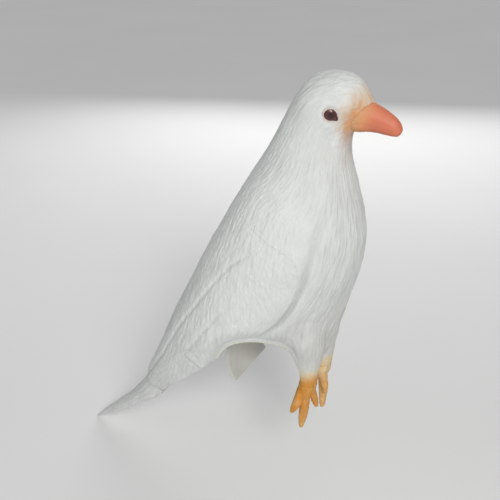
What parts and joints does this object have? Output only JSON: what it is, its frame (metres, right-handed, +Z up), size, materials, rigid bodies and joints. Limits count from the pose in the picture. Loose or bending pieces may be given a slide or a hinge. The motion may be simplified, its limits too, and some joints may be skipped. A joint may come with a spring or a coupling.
{
  "type": "bird decoy",
  "caption": "White perching bird decoy with a coral beak and orange feet, lifting folded wings, and a saddle clip under the belly that grips a round rail.",
  "frame": {"origin": "on the axis of the rail the saddle clip grips, in the bird's mid-plane", "axes": "+X the way the bird faces, +Y along the rail towards the bird's left, +Z up"},
  "size_m": [0.2253, 0.0964, 0.2853],
  "materials": {
    "skin": "matte moulded off-white skin with combed feather relief",
    "beak_paint": "satin coral paint",
    "foot_paint": "matte orange paint",
    "eye_glass": "glossy dark brown",
    "pale_plastic": "matte pale grey",
    "dark_plastic": "matte charcoal",
    "door_plastic": "matte off-white",
    "gear_plastic": "natural acetal",
    "case_plastic": "matte grey",
    "steel": "bright",
    "brass": "plain",
    "pad_rubber": "soft",
    "cell_wrap": "plain wrapped cells",
    "board_green": "lacquered",
    "component": "plain",
    "knob_red": "matte red",
    "wire": "insulated"
  },
  "bodies": {
    "base": {"body_shell": "skin", "wing_bushes": "brass", "gear_axles": "steel", "motor_can": "steel", "motor_endcap": "case_plastic", "motor_strap": "dark_plastic", "gearbox_base": "case_plastic", "gearbox_cover": "case_plastic", "gearbox_screws": "steel", "drive_screws": "steel", "chassis": "pale_plastic", "chassis_screws": "steel", "saddle_clip": "pale_plastic", "clip_screws": "steel", "clip_pads": "pad_rubber", "battery_box": "pale_plastic", "battery_screw": "steel", "battery_cells": "cell_wrap", "battery_springs": "steel", "battery_contacts": "brass", "switch_housing": "dark_plastic", "control_board": "board_green", "board_spacers": "case_plastic", "board_screws": "steel", "board_chip": "dark_plastic", "board_capacitor": "component", "board_terminal": "component", "motor_leads": "wire", "battery_leads": "wire", "tail": "skin", "tail_screws": "steel", "beak": "beak_paint", "eye_right": "eye_glass", "eye_left": "eye_glass", "foot_right": "foot_paint", "foot_left": "foot_paint"},
    "wing_right_body": {"wing_right": "skin", "wing_sleeve_right": "case_plastic", "wing_shaft_right": "steel", "sector_right": "dark_plastic"},
    "wing_left_body": {"wing_left": "skin", "wing_sleeve_left": "case_plastic", "wing_shaft_left": "steel", "sector_left": "dark_plastic"},
    "link_right_body": {"link_gear_right": "gear_plastic"},
    "link_left_body": {"link_gear_left": "gear_plastic"},
    "reduction_body": {"reduction_gear": "gear_plastic"},
    "rotor_body": {"motor_rotor": "steel"},
    "door_body": {"battery_door": "door_plastic"},
    "knob_body": {"switch_knob": "knob_red"}
  },
  "joints": [
    {"name": "wing_right_lift", "type": "hinge", "parent": "base", "child": "wing_right_body", "pos_m": [-0.04451, -0.011, 0.05699], "axis": [-0.4617, 0, -0.887], "range_deg": [0, 34]},
    {"name": "wing_left_lift", "type": "hinge", "parent": "base", "child": "wing_left_body", "pos_m": [-0.04451, 0.011, 0.05699], "axis": [0.4617, 0, 0.887], "range_deg": [0, 34]},
    {"name": "link_right_turn", "type": "hinge", "parent": "base", "child": "link_right_body", "pos_m": [0.00535, -0.008, 0.10995], "axis": [0.4617, 0, 0.887], "range_deg": [0, 51]},
    {"name": "link_left_turn", "type": "hinge", "parent": "base", "child": "link_left_body", "pos_m": [0.00535, 0.008, 0.10995], "axis": [-0.4617, 0, -0.887], "range_deg": [0, 51]},
    {"name": "reduction_turn", "type": "hinge", "parent": "base", "child": "reduction_body", "pos_m": [0.01995, 0, 0.10799], "axis": [-0.4617, 0, -0.887], "range_deg": [0, 153]},
    {"name": "rotor_turn", "type": "hinge", "parent": "base", "child": "rotor_body", "pos_m": [0.03414, 0, 0.1006], "axis": [0.4617, 0, 0.887], "range_deg": [0, 459]},
    {"name": "battery_door_slide", "type": "slide", "parent": "base", "child": "door_body", "axis": [-0.4617, 0, -0.887], "range_m": [0, 0.05], "stiffness_N_per_m": 300},
    {"name": "power_switch_slide", "type": "slide", "parent": "base", "child": "knob_body", "axis": [0, 1, 0], "range_m": [0, 0.003]}
  ],
  "couplings": [
    {"joint": "wing_left_lift", "follows": "wing_right_lift", "ratio": 1},
    {"joint": "link_right_turn", "follows": "wing_right_lift", "ratio": 1.5},
    {"joint": "link_left_turn", "follows": "wing_right_lift", "ratio": 1.5},
    {"joint": "reduction_turn", "follows": "wing_right_lift", "ratio": 4.5},
    {"joint": "rotor_turn", "follows": "wing_right_lift", "ratio": 13.5}
  ]
}
